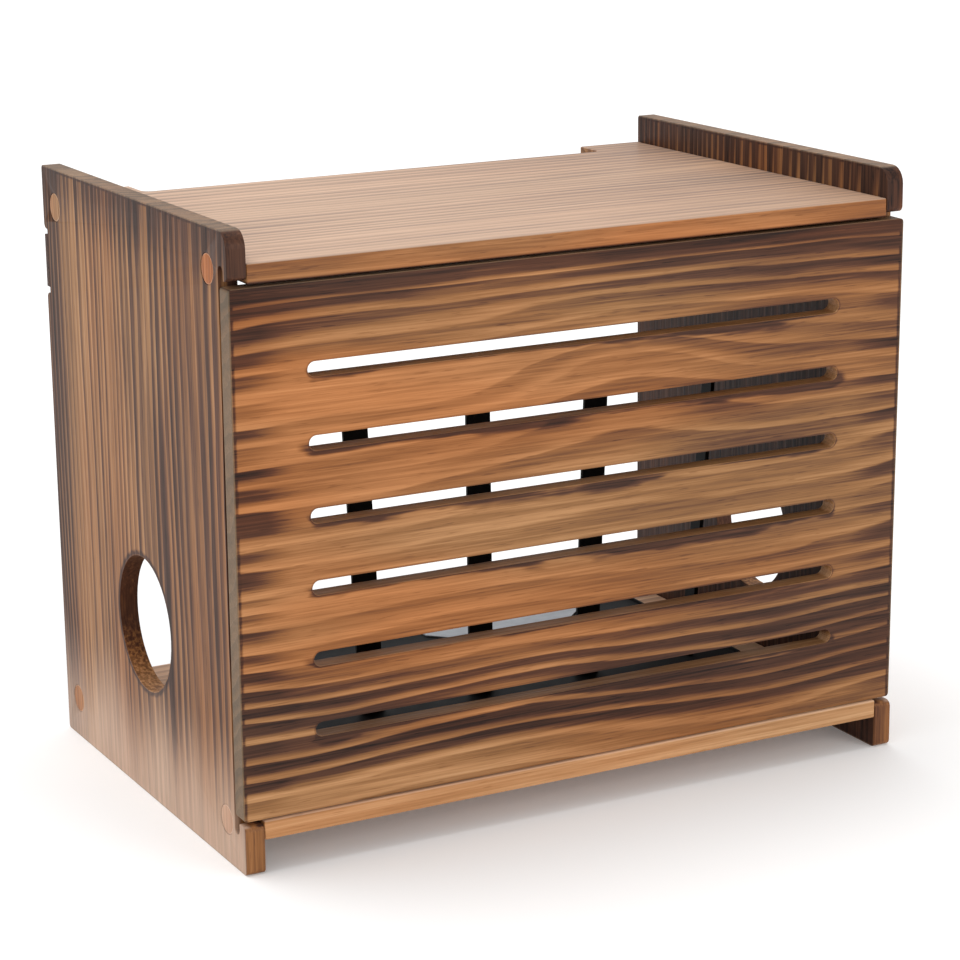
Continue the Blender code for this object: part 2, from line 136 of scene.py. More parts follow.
floor_paper = bpy.data.materials.new("floor_paper")
floor_paper.use_nodes = True
paper = floor_paper.node_tree.nodes["Principled BSDF"].inputs
paper["Base Color"].default_value = PAPER_COLOUR
paper["Roughness"].default_value = PAPER_ROUGHNESS
paper["Specular IOR Level"].default_value = PAPER_SHINE
paper["Emission Color"].default_value = WHITE
paper["Emission Strength"].default_value = PAPER_GLOW
floor_mesh = bpy.data.meshes.new("floor")
sheet = bmesh.new()
bmesh.ops.create_grid(sheet, x_segments=2, y_segments=2, size=FLOOR_REACH)
sheet.to_mesh(floor_mesh)
sheet.free()
floor_mesh.materials.append(floor_paper)
floor = bpy.data.objects.new("floor", floor_mesh)
bpy.context.scene.collection.objects.link(floor)


# ---------------------------------------------------------------------------------------------------
# Side boards. Each is one piece of fast-grown pine with its grain upright, torched, wire-brushed and
# clear-coated. It has an ear above and a foot below, a hole for a hand, and a notch for the back rail.
# ---------------------------------------------------------------------------------------------------
class Figure:
    """A number that varies over a surface. A sum on it adds Math nodes to its finish."""

    def __init__(self, finish, socket):
        self.finish = finish
        self.socket = socket

    def __add__(self, other):
        return self.finish.maths("ADD", self, other)

    def __sub__(self, other):
        return self.finish.maths("SUBTRACT", self, other)

    def __rsub__(self, other):
        return self.finish.maths("SUBTRACT", other, self)

    def __mul__(self, other):
        return self.finish.maths("MULTIPLY", self, other)

    def __truediv__(self, other):
        return self.finish.maths("DIVIDE", self, other)

    def __pow__(self, other):
        return self.finish.maths("POWER", self, other)

    __radd__ = __add__
    __rmul__ = __mul__


class Finish:
    """One material and the nodes that make it."""

    def __init__(self, name):
        self.material = bpy.data.materials.new(name)
        self.material.use_nodes = True
        self.tree = self.material.node_tree
        self.shader = self.tree.nodes["Principled BSDF"]
        self.place = self.node("ShaderNodeTexCoord", {}, {}, 3)
        self.x, self.y, self.z = self.split(self.place)

    def node(self, kind, settings, inputs, output=0):
        """Adds a node: its settings first, then the values or links of its sockets."""
        made = self.tree.nodes.new(kind)
        for name, value in settings.items():
            if name == "stops":
                while len(made.color_ramp.elements) < len(value):
                    made.color_ramp.elements.new(1.0)
                for stop, (position, colour) in zip(made.color_ramp.elements, value):
                    stop.position = position
                    stop.color = (*colour, 1.0)
            else:
                setattr(made, name, value)
        for name, value in inputs.items():
            self.feed(made.inputs[name], value)
        return Figure(self, made.outputs[output])

    def feed(self, socket, value):
        if isinstance(value, Figure):
            self.tree.links.new(value.socket, socket)
        else:
            socket.default_value = value

    def maths(self, operation, *values):
        return self.node("ShaderNodeMath", {"operation": operation}, dict(enumerate(values)))

    def set(self, **sockets):
        """Sets the shader's own sockets, named with underscores for spaces."""
        for name, value in sockets.items():
            self.feed(self.shader.inputs[name.replace("_", " ")], value)

    def fade(self, value, low, high):
        """0 below low, 1 above high, and a smooth slope between them."""
        inputs = {"Value": value, "From Min": low, "From Max": high}
        return self.node("ShaderNodeMapRange", {"interpolation_type": "SMOOTHSTEP"}, inputs)

    def near(self, value, low, high):
        """1 below low, 0 above high, and a smooth slope between them."""
        return 1.0 - self.fade(value, low, high)

    def unsigned(self, value):
        return self.maths("ABSOLUTE", value)

    def within(self, value, low=0.0, high=1.0):
        return self.maths("MINIMUM", self.maths("MAXIMUM", value, low), high)

    def mix(self, share, first, second, way="MIX"):
        """Two colours mixed by a share."""
        settings = {"data_type": "RGBA", "blend_type": way, "clamp_factor": True}
        return self.node("ShaderNodeMix", settings, {0: share, 6: first, 7: second}, 2)

    def split(self, vector):
        return [self.node("ShaderNodeSeparateXYZ", {}, {0: vector}, i) for i in range(3)]

    def cloud(self, place, fineness, shift=(0.0, 0.0, 0.0), detail=2.0, roughness=0.5):
        """Soft noise from 0 to 1, with its own fineness along each axis."""
        spot = self.node(
            "ShaderNodeMapping", {}, {"Vector": place, "Scale": fineness, "Location": shift}
        )
        inputs = {"Vector": spot, "Scale": 1.0, "Detail": detail, "Roughness": roughness}
        return self.node("ShaderNodeTexNoise", {}, inputs)

    def bump(self, height, strength, depth):
        inputs = {"Strength": strength, "Distance": depth, "Height": height}
        return self.node("ShaderNodeBump", {}, inputs)


def tint(red, green, blue):
    """A colour on the 0 to 255 scale of paint charts, as linear light."""
    return tuple((part / 255.0) ** 2.2 for part in (red, green, blue))


# From scarcely warmed pine to black char.
TORCHING = [
    (0.00, tint(216, 170, 126)),
    (0.24, tint(186, 138, 95)),
    (0.46, tint(147, 105, 68)),
    (0.70, tint(92, 63, 49)),
    (1.00, tint(34, 28, 28)),
]
WARM_COAT = (*tint(255, 205, 158), 1.0)
# A painted sheen: the pale pink of the white studio reflected at a glancing angle, mixed into a board's
# colour.
PAINTED_SHEEN = (*tint(236, 208, 188), 1.0)
DULL_END = (*tint(112, 98, 80), 1.0)

# How fine each part of the figure is: along the grain, across the face and through the board.
YEARS_DRIFT = (0.7, 15.0, 15.0)
YEARS_WOBBLE = (5.0, 60.0, 60.0)
TRUNK_BEND = (1.7, 5.0, 5.0)
FIBRE = (22.0, 1000.0, 1000.0)
SCORE = (9.0, 520.0, 520.0)
STREAK = (6.0, 240.0, 240.0)
PATCH = (4.0, 26.0, 26.0)
PORES = (60.0, 900.0, 900.0)
REDDENING = (2.6, 13.0, 13.0)

# A pair of values is where a zone begins and where it is whole.
OPEN_PORES = (0.64, 0.74)
REDDENED = (0.32, 0.68)
YEAR_START = 0.04
YEAR_STOP = (0.90, 1.0)
DRIFT_YEARS = 4.0
WOBBLE_YEARS = 0.75

MOST_CHAR = 0.84
FIBRE_CONTRAST = 0.30
SCORE_CONTRAST = 0.34
STREAK_CONTRAST = 0.36
PATCH_CONTRAST = 0.36
PORE_CHAR = 0.10
SATIN_ROUGHNESS = 0.40
CHAR_ROUGHNESS = 0.14
WOOD_SHINE = 0.12
COAT_ROUGHNESS = 0.25
BRUSHING_STRENGTH = 0.35
BRUSHING_DEPTH = 0.0005
END_GRAIN_DEEP = 0.0013
END_GRAIN_SHALLOW = 0.0003


class Board(Finish):
    """Torched pine with its own growth rings: along its grain, across its face and through it."""

    def __init__(self, name, node, grain, seed):
        super().__init__(name)
        self.low, self.high = (Vector(corner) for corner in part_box(node))
        self.middle = (self.low + self.high) / 2
        axes = {"X": self.x, "Y": self.y, "Z": self.z}
        self.along, self.across, self.through = (axes[axis] for axis in grain)
        parts = {0: self.along, 1: self.across, 2: self.through}
        self.spot = self.node("ShaderNodeCombineXYZ", {}, parts)
        self.seed = Vector((seed, seed * 1.7, seed * 0.6))
        axis = "XYZ".index(grain[0])
        half = (self.high[axis] - self.low[axis]) / 2
        from_middle = self.unsigned(self.along - self.middle[axis])
        self.end = self.fade(from_middle, half - END_GRAIN_DEEP, half - END_GRAIN_SHALLOW)

    def noise(self, fineness, step=0.0, detail=2.0, roughness=0.5):
        shift = tuple(self.seed + Vector((step, step, step)))
        return self.cloud(self.spot, fineness, shift, detail, roughness)

    def sway(self, fineness, reach, step=0.0, detail=2.0, roughness=0.5):
        """Noise to both sides of zero."""
        return (self.noise(fineness, step, detail, roughness) - 0.5) * reach

    def torched(self, fineness, low, high):
        """1 where the torch lingered, 0 where it hurried on."""
        return self.fade(self.noise(fineness, 1.0), low, high)

    def grow(self, rings, rise=0.80, spread=1.0):
        """Lays the growth rings: each year starts light, darkens and stops short. No two are alike."""
        drift = self.sway(YEARS_DRIFT, DRIFT_YEARS * spread, 10.0)
        rings = rings + drift + self.sway(YEARS_WOBBLE, WOBBLE_YEARS, 11.0, 3.0)
        part_year = self.maths("FRACT", rings)
        year = self.maths("FLOOR", rings)
        self.each_year = self.node("ShaderNodeTexWhiteNoise", {"noise_dimensions": "1D"}, {"W": year})
        self.late = self.fade(part_year, YEAR_START, rise) * self.near(part_year, *YEAR_STOP)

    def arcs(self, heart, heart_depth, year, wander):
        """Rings about a heart that lies off the board, bent along it."""
        drift = self.across + self.sway(TRUNK_BEND, wander) - heart
        deep = self.through - heart_depth
        return (drift * drift + deep * deep) ** 0.5 / year

    def close(self, char, warmth, painted_sheen=0.0, gloss=0.05, dull=0.0):
        """Colours the board by how deep it is charred, mixes in a painted sheen, and gives it its
        brushed grain and satin coat.
        """
        fibre = self.noise(FIBRE, 3.0, 2.0, 0.6)
        streak = self.noise(STREAK, 5.0, 3.0, 0.6)
        grainy = (fibre - 0.5) * FIBRE_CONTRAST + (streak - 0.5) * STREAK_CONTRAST
        grainy = grainy + self.sway(SCORE, SCORE_CONTRAST, 15.0, 2.0, 0.6)
        grainy = grainy + self.sway(PATCH, PATCH_CONTRAST, 7.0, 3.0, 0.6)
        grainy = grainy + self.fade(self.noise(PORES, 9.0, 1.0), *OPEN_PORES) * PORE_CHAR
        depth = self.within(self.within(char, 0.0, MOST_CHAR) + grainy)
        red = self.fade(self.noise(REDDENING, 8.0), *REDDENED)
        colour = self.node("ShaderNodeValToRGB", {"stops": TORCHING}, {"Fac": depth})
        colour = self.mix(red * warmth, colour, WARM_COAT, "MULTIPLY")
        # Painted sheen: the colour is mixed towards pale pink where the board would reflect the studio.
        colour = self.mix(painted_sheen * (1.0 - depth * 0.6), colour, PAINTED_SHEEN)
        colour = self.mix(dull, colour, DULL_END)
        brushed = self.late * 0.7 + fibre * 0.40 + streak * 0.30
        self.set(
            Base_Color=colour,
            Roughness=SATIN_ROUGHNESS + depth * CHAR_ROUGHNESS + (fibre - 0.5) * 0.10,
            Specular_IOR_Level=WOOD_SHINE,
            Coat_Weight=gloss,
            Coat_Roughness=COAT_ROUGHNESS,
            Normal=self.bump(brushed, BRUSHING_STRENGTH, BRUSHING_DEPTH),
        )
        return self.material


MERGE = 0.000005
FLAT_FACES_FIRST = 100


def copied(node, material):
    """A CAD piece's mesh with its triangles joined, as a piece that takes its place."""
    mesh = frame["nodes"][node].data.copy()
    shape = bmesh.new()
    shape.from_mesh(mesh)
    bmesh.ops.remove_doubles(shape, verts=shape.verts, dist=MERGE)
    shape.to_mesh(mesh)
    shape.free()
    mesh.shade_smooth()
    placed(node, mesh, material)


def placed(node, mesh, material):
    """Hangs a finished mesh where a CAD piece was."""
    mesh.name = node + "_made"
    mesh.materials.clear()
    mesh.materials.append(material)
    piece = bpy.data.objects.new(node + "_made", mesh)
    bpy.context.scene.collection.objects.link(piece)
    even_shading = piece.modifiers.new("even_shading", "WEIGHTED_NORMAL")
    even_shading.weight = FLAT_FACES_FIRST
    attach(piece, frame["nodes"][node]["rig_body"])
    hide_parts(node)


SIDES = {"left": -1, "right": 1}
HOLE_RADIUS = 0.045
SIDE_BEND = (1.6, 5.0, 5.0)
SIDE_BEND_REACH = 0.028
SIDE_TORCH = (1.5, 9.0, 9.0)
SIDE_TORCHED = (0.30, 0.70)
UNEVEN_HEIGHT = (3.0, 22.0, 22.0)
OUTER_SKIN = (0.001, 0.005)
INNER_SKIN = (0.001, 0.004)
PAST_EDGE = (0.0008, 0.0025)
OFF_FLOOR = (0.020, 0.09)
UPPER_PART = (0.10, 0.30)
BELOW_TIP = (-0.006, 0.040)
FROM_BACK = (0.0, 0.050)
FRONT_RIM = (0.0, 0.0035)
ARRIS = (0.0010, 0.0030)
PAINTED_SHEEN_HEIGHT = (0.0, 0.095)
BORE_EDGE = (0.0002, 0.0009)
HOLE_RIM = (0.0008, 0.0045)
BORE_SPECKLE = (420.0, 420.0, 420.0)
SPECKLED = (0.42, 0.62)
BELOW_HOLE_MIDDLE = (0.0, 0.03)
BORE_LIT_FOOT = (-0.040, -0.012)
SIDE_CHAR = 0.42
BORE_CHAR = 0.56
HOLE_RIM_CHAR = 0.42
ARRIS_CHAR = 0.35
BACK_CHAR = 0.22
INSIDE_SHADE = 0.36
SIDE_END_CHAR = 0.18
YEARS_PER_METRE = 72.0
YEARS_CROWDING = 130.0
YEARS_SLANT = 30.0

openings = {opening["name"]: opening["box_m"] for opening in frame["record"]["physics"]["openings"]}
shelf_low, shelf_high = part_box("top_board")

for side, sign in SIDES.items():
    wood = Board(f"torched_side_{side}", f"side_panel_{side}", "ZYX", 11.0 + sign * 4.0)
    from_front = wood.y - wood.low.y
    bent = from_front + wood.sway(SIDE_BEND, SIDE_BEND_REACH)
    wood.grow(bent * (YEARS_PER_METRE + bent * YEARS_CROWDING) + wood.x * YEARS_SLANT, 0.72)
    torch = wood.torched(SIDE_TORCH, *SIDE_TORCHED)
    outwards = (wood.x - wood.middle.x) * sign
    outer = wood.fade(outwards, *OUTER_SKIN)
    inner = wood.fade(-1.0 * outwards, *INNER_SKIN)
    behind_edge = wood.fade(from_front, *PAST_EDGE)

    # The face: banded, with fainter bands and less torch patchiness near the floor.
    height = wood.z + wood.sway(UNEVEN_HEIGHT, 0.06, 2.0)
    off_floor = wood.fade(height, *OFF_FLOOR)
    bands = wood.late * (0.06 + torch * 0.16 + wood.each_year * 0.30)
    char = SIDE_CHAR + bands * (0.25 + off_floor * 0.75) + (torch - 0.5) * 0.14 * off_floor

    # The edges: dark tips above, a dark back, a thin dark rim along the front and a burnt arris.
    from_tip = wood.high.z - wood.z
    tips = wood.near(from_tip - wood.late * 0.012, *BELOW_TIP)
    back = wood.near(wood.high.y - wood.y, *FROM_BACK)
    upper = wood.fade(wood.z, *UPPER_PART)
    front_rim = wood.near(from_front, *FRONT_RIM) * (0.02 + torch * 0.10 + upper * 0.14)
    arris = wood.near(from_tip, *ARRIS) * (1.0 - wood.end)
    char = char + tips * (0.16 + wood.each_year * 0.26) + arris * ARRIS_CHAR
    char = char + back * BACK_CHAR * torch + front_rim

    # The inner face: painted shade, evenly dark, under the top board, and striped on the ear above it.
    painted_shade_inside = inner * behind_edge * wood.near(wood.z, shelf_low[2] - 0.002, shelf_high[2])
    ear = inner * behind_edge * (1.0 - painted_shade_inside) * wood.late * (0.06 + wood.each_year * 0.34)
    char = char + ear + painted_shade_inside * INSIDE_SHADE

    # The hole: a scorched rim, and a speckled bore of torn end grain with painted light and shade:
    # lighter at its foot, which faces up, darker from a little below its middle upwards, and speckled
    # lighter only below its middle.
    hole_low, hole_high = openings[f"{side}_hole"]
    off_y = wood.y - (hole_low[1] + hole_high[1]) / 2
    off_z = wood.z - (hole_low[2] + hole_high[2]) / 2
    from_hole = (off_y * off_y + off_z * off_z) ** 0.5 - HOLE_RADIUS
    bore = wood.near(from_hole, *BORE_EDGE)
    speckle = wood.fade(wood.noise(BORE_SPECKLE, 12.0), *SPECKLED)
    speckle = speckle * wood.fade(-1.0 * off_z, *BELOW_HOLE_MIDDLE)
    bore_char_and_shade = BORE_CHAR + wood.fade(off_z, *BORE_LIT_FOOT) * 0.14 - speckle * 0.22
    char = char + wood.near(from_hole, *HOLE_RIM) * (1.0 - bore) * HOLE_RIM_CHAR
    char = char * (1.0 - wood.end * 0.5) + wood.end * SIDE_END_CHAR
    char = char * (1.0 - bore) + bore * bore_char_and_shade

    # Painted sheen: the outer face is mixed towards pale pink low down, where it would reflect the
    # floor, and the end grain a little everywhere.
    painted_sheen = wood.near(height, *PAINTED_SHEEN_HEIGHT) * outer * behind_edge * (1.0 - bore) * 0.70
    material = wood.close(char, 0.40 + front_rim * 1.2, painted_sheen + wood.end * 0.25, 0.05, wood.end * 0.45)
    copied(f"side_panel_{side}", material)

# ---------------------------------------------------------------------------------------------------
# Top board. It lies between the sides with its grain across the feeder, a little below their tips, and
# has a long notch in its back edge. Its face is lightly torched in fine lines under a satin coat.
# ---------------------------------------------------------------------------------------------------
TOP_CHAR = 0.28
TOP_YEAR = 0.0085
TOP_HEART = (0.30, 0.20)
TOP_TORCH = (1.6, 9.0, 9.0)
TOP_TORCHED = (0.30, 0.72)
TOP_FINE_LINES = (2.0, 190.0, 190.0)
BOARD_WANDER = 0.020
TOP_ENDS = (0.0, 0.10)
TOP_FACE = (0.0002, 0.0008)
TOP_FRONT_EDGE = (0.0004, 0.0012)
TOP_UNDERSIDE = (0.0002, 0.0020)
RIGHT_HALF = (-0.10, 0.24)
TOP_GLOSS = 0.10

wood = Board("torched_top", "top_board", "XYZ", 31.0)
wood.grow(wood.arcs(*TOP_HEART, TOP_YEAR, BOARD_WANDER), 0.80, 0.7)
torch = wood.torched(TOP_TORCH, *TOP_TORCHED)
to_ends = wood.near(wood.high.x - wood.unsigned(wood.x), *TOP_ENDS)
face = wood.near(wood.high.z - wood.z, *TOP_FACE)
front_edge = wood.near(wood.y - wood.low.y, *TOP_FRONT_EDGE) * (1.0 - face)
# Painted shade: the underside, facing down into the box, is darkened.
painted_shade_underside = wood.near(wood.z - wood.low.z, *TOP_UNDERSIDE)
# Painted sheen: the face is mixed towards pale pink, the studio reflected at a glancing angle; to the
# right this painted reflection fades and the face is painted a little darker.
painted_sheen_falloff = wood.fade(wood.x, *RIGHT_HALF) * face
char = TOP_CHAR + wood.late * (0.10 + torch * 0.16 + wood.each_year * 0.18)
char = char + wood.sway(TOP_FINE_LINES, 0.22, 13.0) + to_ends * 0.10 * torch
char = char * (1.0 - front_edge * 0.5) + front_edge * (0.12 + to_ends * 0.12)
char = char + painted_shade_underside * 0.40 + painted_sheen_falloff * 0.10
painted_sheen = face * (0.58 - painted_sheen_falloff * 0.14)
copied("top_board", wood.close(char, 0.20 + front_edge * 0.80, painted_sheen, TOP_GLOSS))

# ---------------------------------------------------------------------------------------------------
# Bottom board. It is held between the sides above their feet, and the rack's tray slides on it. Only
# its light front edge shows below the slotted front.
# ---------------------------------------------------------------------------------------------------
BOTTOM_CHAR = 0.14
BOTTOM_YEAR = 0.0080
BOTTOM_HEART = (-0.30, -0.16)
BOTTOM_TORCH = (2.0, 9.0, 9.0)
BOTTOM_TORCHED = (0.35, 0.70)
BOTTOM_FRONT_EDGE = (0.0002, 0.0015)
BOTTOM_FACE = (0.0004, 0.0012)

wood = Board("torched_bottom", "bottom_board", "XYZ", 53.0)
wood.grow(wood.arcs(*BOTTOM_HEART, BOTTOM_YEAR, BOARD_WANDER), 0.80, 0.7)
torch = wood.torched(BOTTOM_TORCH, *BOTTOM_TORCHED)
front_edge = wood.near(wood.y - wood.low.y, *BOTTOM_FRONT_EDGE)
char = BOTTOM_CHAR + wood.late * (0.12 + torch * 0.24) * (1.0 - front_edge * 0.6)
char = char + (1.0 - front_edge) * 0.16
# Painted sheen: its upper face is mixed a little towards pale pink, as if reflecting the studio.
painted_sheen = wood.near(wood.high.z - wood.z, *BOTTOM_FACE) * 0.35
copied("bottom_board", wood.close(char, 0.30, painted_sheen))

# ---------------------------------------------------------------------------------------------------
# Back rail. A thin strip of pine, charred black, let into the back edges of both sides and screwed on.
# It stiffens the open back and is what a stall board or a wall is fastened to.
# ---------------------------------------------------------------------------------------------------
RAIL_CHAR = 0.84
RAIL_YEAR = 0.0060
RAIL_HEART = (0.20, 0.30)
RAIL_WANDER = 0.015

wood = Board("charred_rail", "back_rail", "XZY", 71.0)
wood.grow(wood.arcs(*RAIL_HEART, RAIL_YEAR, RAIL_WANDER))
copied("back_rail", wood.close(RAIL_CHAR + wood.late * 0.16, 0.0))


# ---------------------------------------------------------------------------------------------------
# Screws. Countersunk zinc-plated wood screws with a star recess hold the shelves and the back rail.
# Those in the sides lie under plugs, and the rail's four show at the back.
# ---------------------------------------------------------------------------------------------------
class Metal(Finish):
    """Plated or coated metal with a fine uneven surface."""

    def __init__(self, name, colour, shade, roughness, grain=900.0):
        super().__init__(name)
        self.mottle = self.cloud(self.place, (90.0, 90.0, 90.0), (2.0, 5.0, 9.0), 4.0, 0.6)
        self.peel = self.cloud(self.place, (grain, grain, grain), (1.0, 3.0, 7.0), 2.0, 0.5)
        self.colour = self.mix(self.fade(self.mottle, 0.30, 0.70), (*colour, 1.0), (*shade, 1.0))
        self.roughness = roughness + (self.mottle - 0.5) * 0.22 + (self.peel - 0.5) * 0.10

    def close(self, metallic, shine, depth):
        self.set(
            Base_Color=self.colour,
            Roughness=self.roughness,
            Metallic=metallic,
            Specular_IOR_Level=shine,
            Normal=self.bump(self.peel + self.mottle * 0.5, 0.30, depth),
        )
        return self.material


def nodes_with(word):
    return [name for name in frame["nodes"] if word in name]


def turned(profile, steps):
    """A solid turned about +Z from (distance, radius) points, its first point at the origin."""
    shape = bmesh.new()
    points = [shape.verts.new((radius, 0.0, distance)) for distance, radius in profile]
    edges = [shape.edges.new(pair) for pair in zip(points, points[1:])]
    bmesh.ops.spin(
        shape,
        geom=points + edges,
        cent=(0.0, 0.0, 0.0),
        axis=(0.0, 0.0, 1.0),
        angle=math.tau,
        steps=steps,
        use_merge=True,
    )
    bmesh.ops.remove_doubles(shape, verts=shape.verts, dist=MERGE)
    return shape


def meshed(shape, crease):
    """A finished shape as a mesh, shaded smooth except at edges sharper than a crease."""
    mesh = bpy.data.meshes.new("made")
    shape.to_mesh(mesh)
    shape.free()
    mesh.shade_smooth()
    mesh.set_sharp_from_angle(angle=math.radians(crease))
    return mesh


def seated(shape, place, along):
    """Turns a shape from +Z to its own direction, puts it in its place and makes a mesh of it."""
    turn = Vector(along).to_track_quat("Z", "Y").to_matrix()
    bmesh.ops.rotate(shape, cent=(0.0, 0.0, 0.0), matrix=turn, verts=shape.verts)
    bmesh.ops.translate(shape, vec=place, verts=shape.verts)
    bmesh.ops.recalc_face_normals(shape, faces=shape.faces)
    return meshed(shape, 38)


RECESS_DEPTH = 0.0016
RECESS_LOBE = 0.16
RECESS_POINTS = 6
THREAD_PITCH = 0.0019
THREAD_START = 0.34
THREAD_END = 0.0050
POINT_LENGTH = 0.0030
SCREW_STEPS = 36
PLATED = 1.0

zinc_finish = Metal("zinc_plate", tint(205, 200, 178), tint(170, 168, 158), 0.34)
zinc = zinc_finish.close(PLATED, 0.5, 0.0001)

for node in nodes_with("_screw_"):
    low, high = (Vector(corner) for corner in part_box(node))
    middle = (low + high) / 2
    extent = high - low
    if node.startswith("rail"):
        inwards = Vector((0.0, -1.0, 0.0))
        length, head = extent.y, extent.x / 2
        seat = Vector((middle.x, high.y, middle.z))
    else:
        sign = SIDES["left" if "_left_" in node else "right"]
        inwards = Vector((-sign, 0.0, 0.0))
        length, head = extent.x, extent.y / 2
        seat = Vector((high.x if sign > 0 else low.x, middle.y, middle.z))
    core, crest = head * 0.36, head * 0.50
    profile = [
        (RECESS_DEPTH, 0.0), (RECESS_DEPTH - 0.0001, head * 0.34), (0.0002, head * 0.45),
        (0.0, head * 0.50), (0.0, head * 0.93), (0.0002, head * 0.99),
        (0.0005, head), (0.0030, head * 0.46),
    ]
    thread = THREAD_START * length
    while thread < length - THREAD_END:
        profile += [(thread, core), (thread + 0.0007, crest)]
        profile += [(thread + 0.0009, crest), (thread + 0.0015, core)]
        thread += THREAD_PITCH
    profile += [(length - POINT_LENGTH, core), (length, 0.0)]
    screw = turned(profile, SCREW_STEPS)
    for vertex in screw.verts:
        radius = Vector((vertex.co.x, vertex.co.y)).length
        if vertex.co.z < RECESS_DEPTH + 0.0001 and 0.0 < radius < head * 0.48:
            angle = math.atan2(vertex.co.y, vertex.co.x)
            lobe = 1.0 + RECESS_LOBE * math.cos(RECESS_POINTS * angle)
            vertex.co.x *= lobe
            vertex.co.y *= lobe
    placed(node, seated(screw, seat, inwards), zinc)

# ---------------------------------------------------------------------------------------------------
# Plugs. Turned from unburnt pine, glued over the screw heads with their grain upright, sanded flush and
# clear-coated with the boards, so they stay orange in the dark wood.
# ---------------------------------------------------------------------------------------------------
PLUG_CHAR = 0.30
PLUG_WARMTH = 1.6
PLUG_YEAR = 0.0030
PLUG_ROUNDING = 0.0006
PLUG_STEPS = 48
RIM_RING_WIDTH = 0.0010
# This plug lies low on the left side, where the side board's painted sheen falls, and is given the
# painted sheen too.
PLUG_IN_PAINTED_SHEEN = "plug_left_bottom_front"

for number, node in enumerate(nodes_with("plug_")):
    wood = Board(node + "_pine", node, "ZYX", 120.0 + 7.0 * number)
    sign = SIDES["left" if "_left_" in node else "right"]
    radius = (wood.high.y - wood.low.y) / 2
    thick = wood.high.x - wood.low.x
    heart = wood.middle.y + 0.02 + 0.004 * (number % 3)
    wood.grow(wood.arcs(heart, wood.middle.x + 0.02, PLUG_YEAR, 0.004), 0.80, 0.15)
    off_y = wood.y - wood.middle.y
    off_z = wood.z - wood.middle.z
    # A lighter ring at the rim and the plug in the side's painted sheen are mixed towards the painted
    # sheen.
    rim_ring = wood.near(radius - (off_y * off_y + off_z * off_z) ** 0.5, 0.0003, RIM_RING_WIDTH)
    char = PLUG_CHAR + wood.late * 0.08 - rim_ring * 0.18
    painted_sheen = rim_ring * 0.35 + (0.45 if node == PLUG_IN_PAINTED_SHEEN else 0.0)
    profile = [
        (0.0, 0.0), (0.00004, radius * 0.70), (0.00012, radius - 0.0007), (0.00030, radius - 0.0002),
        (PLUG_ROUNDING, radius), (thick - PLUG_ROUNDING, radius), (thick, radius - PLUG_ROUNDING),
        (thick, 0.0),
    ]
    seat = Vector((wood.high.x if sign > 0 else wood.low.x, wood.middle.y, wood.middle.z))
    plug = seated(turned(profile, PLUG_STEPS), seat, (-sign, 0.0, 0.0))
    placed(node, plug, wood.close(char, PLUG_WARMTH, painted_sheen))

# ---------------------------------------------------------------------------------------------------
# Slotted front. One wide board with its grain across the feeder and six routed slots, torched hardest
# along its edges, in its lower quarter and below each slot. It leans on the sides and pulls off.
# ---------------------------------------------------------------------------------------------------
SLOT_RADIUS = 0.00475
SLOT_MARGIN = 0.0495
FRONT_CHAR = 0.28
FRONT_YEARS = 70.0
LOWER_YEARS = 18.0
LOWER_ZONE = 0.150
HUMP_X = 0.035
HUMP_Z = 0.285
HUMP_WIDTH = 0.085
HUMP_HEIGHT = 0.050
HUMP_RISE = 0.030
FRONT_BEND = (2.2, 3.0, 3.0)
FRONT_BEND_REACH = 0.050
FRONT_TORCH = (2.2, 8.0, 8.0)
FRONT_TORCHED = (0.36, 0.68)
SLOT_WALL = (-0.0002, 0.0003)
SLOT_LINE = (0.0002, 0.0016)
SLOT_ROUND_END = (0.0008, 0.0030)
BELOW_SLOT = (-0.004, 0.003)
SCORCH_PATCH = (11.0, 70.0, 9.0)
SCORCHED = (0.36, 0.60)
SCORCHED_WIDE = (0.42, 0.72)
SCORCH_REACH = 0.0090
RAGGED = (3.0, 30.0, 30.0)
LOWER_PART = (0.095, 0.140)
ABOVE_FOOT = (0.046, 0.066)
CALM_FOOT = (0.050, 0.066)
LEFT_PART = (-0.22, 0.05)
RIGHT_PART = (0.06, 0.22)
PAST_MIDDLE = (-0.10, 0.20)
TOP_EDGE_FACE = (0.0002, 0.0006)
TOP_LINE = (0.0018, 0.0045)
TOP_BURN = (0.003, 0.012)
TOP_SHADE = (0.005, 0.045)
END_LINE = (0.0016, 0.0034)
SPIKES = (-0.006, 0.030)
SPIKE_FINENESS = (1.0, 70.0, 1.0)
SPIKE_REACH = 0.026
SCORCH_CHAR = 0.46
END_LINE_CHAR = 0.34
SLOT_LINE_CHAR = 0.16
SLOT_WALL_CHAR = 0.38
END_CHAR = 0.30
TOP_LINE_CHAR = 0.22
TOP_FACE_CHAR = 0.50

wood = Board("torched_front", "front_panel", "XZY", 97.0)

# The rings run level, rise over a hump right of the middle, and crowd together below.
hump_x = (wood.x - HUMP_X) / HUMP_WIDTH
hump_z = (wood.z - HUMP_Z) / HUMP_HEIGHT
hump = wood.maths("EXPONENT", (hump_x * hump_x + hump_z * hump_z) * -1.0) * HUMP_RISE
from_face = wood.y - wood.low.y
level = wood.z - hump + wood.sway(FRONT_BEND, FRONT_BEND_REACH) - wood.x * 0.02 + from_face * 0.8
crowded = (level - LOWER_ZONE) * LOWER_YEARS * wood.near(level, LOWER_ZONE - 0.010, LOWER_ZONE + 0.010)
wood.grow(level * FRONT_YEARS + crowded, 0.62, 0.80)

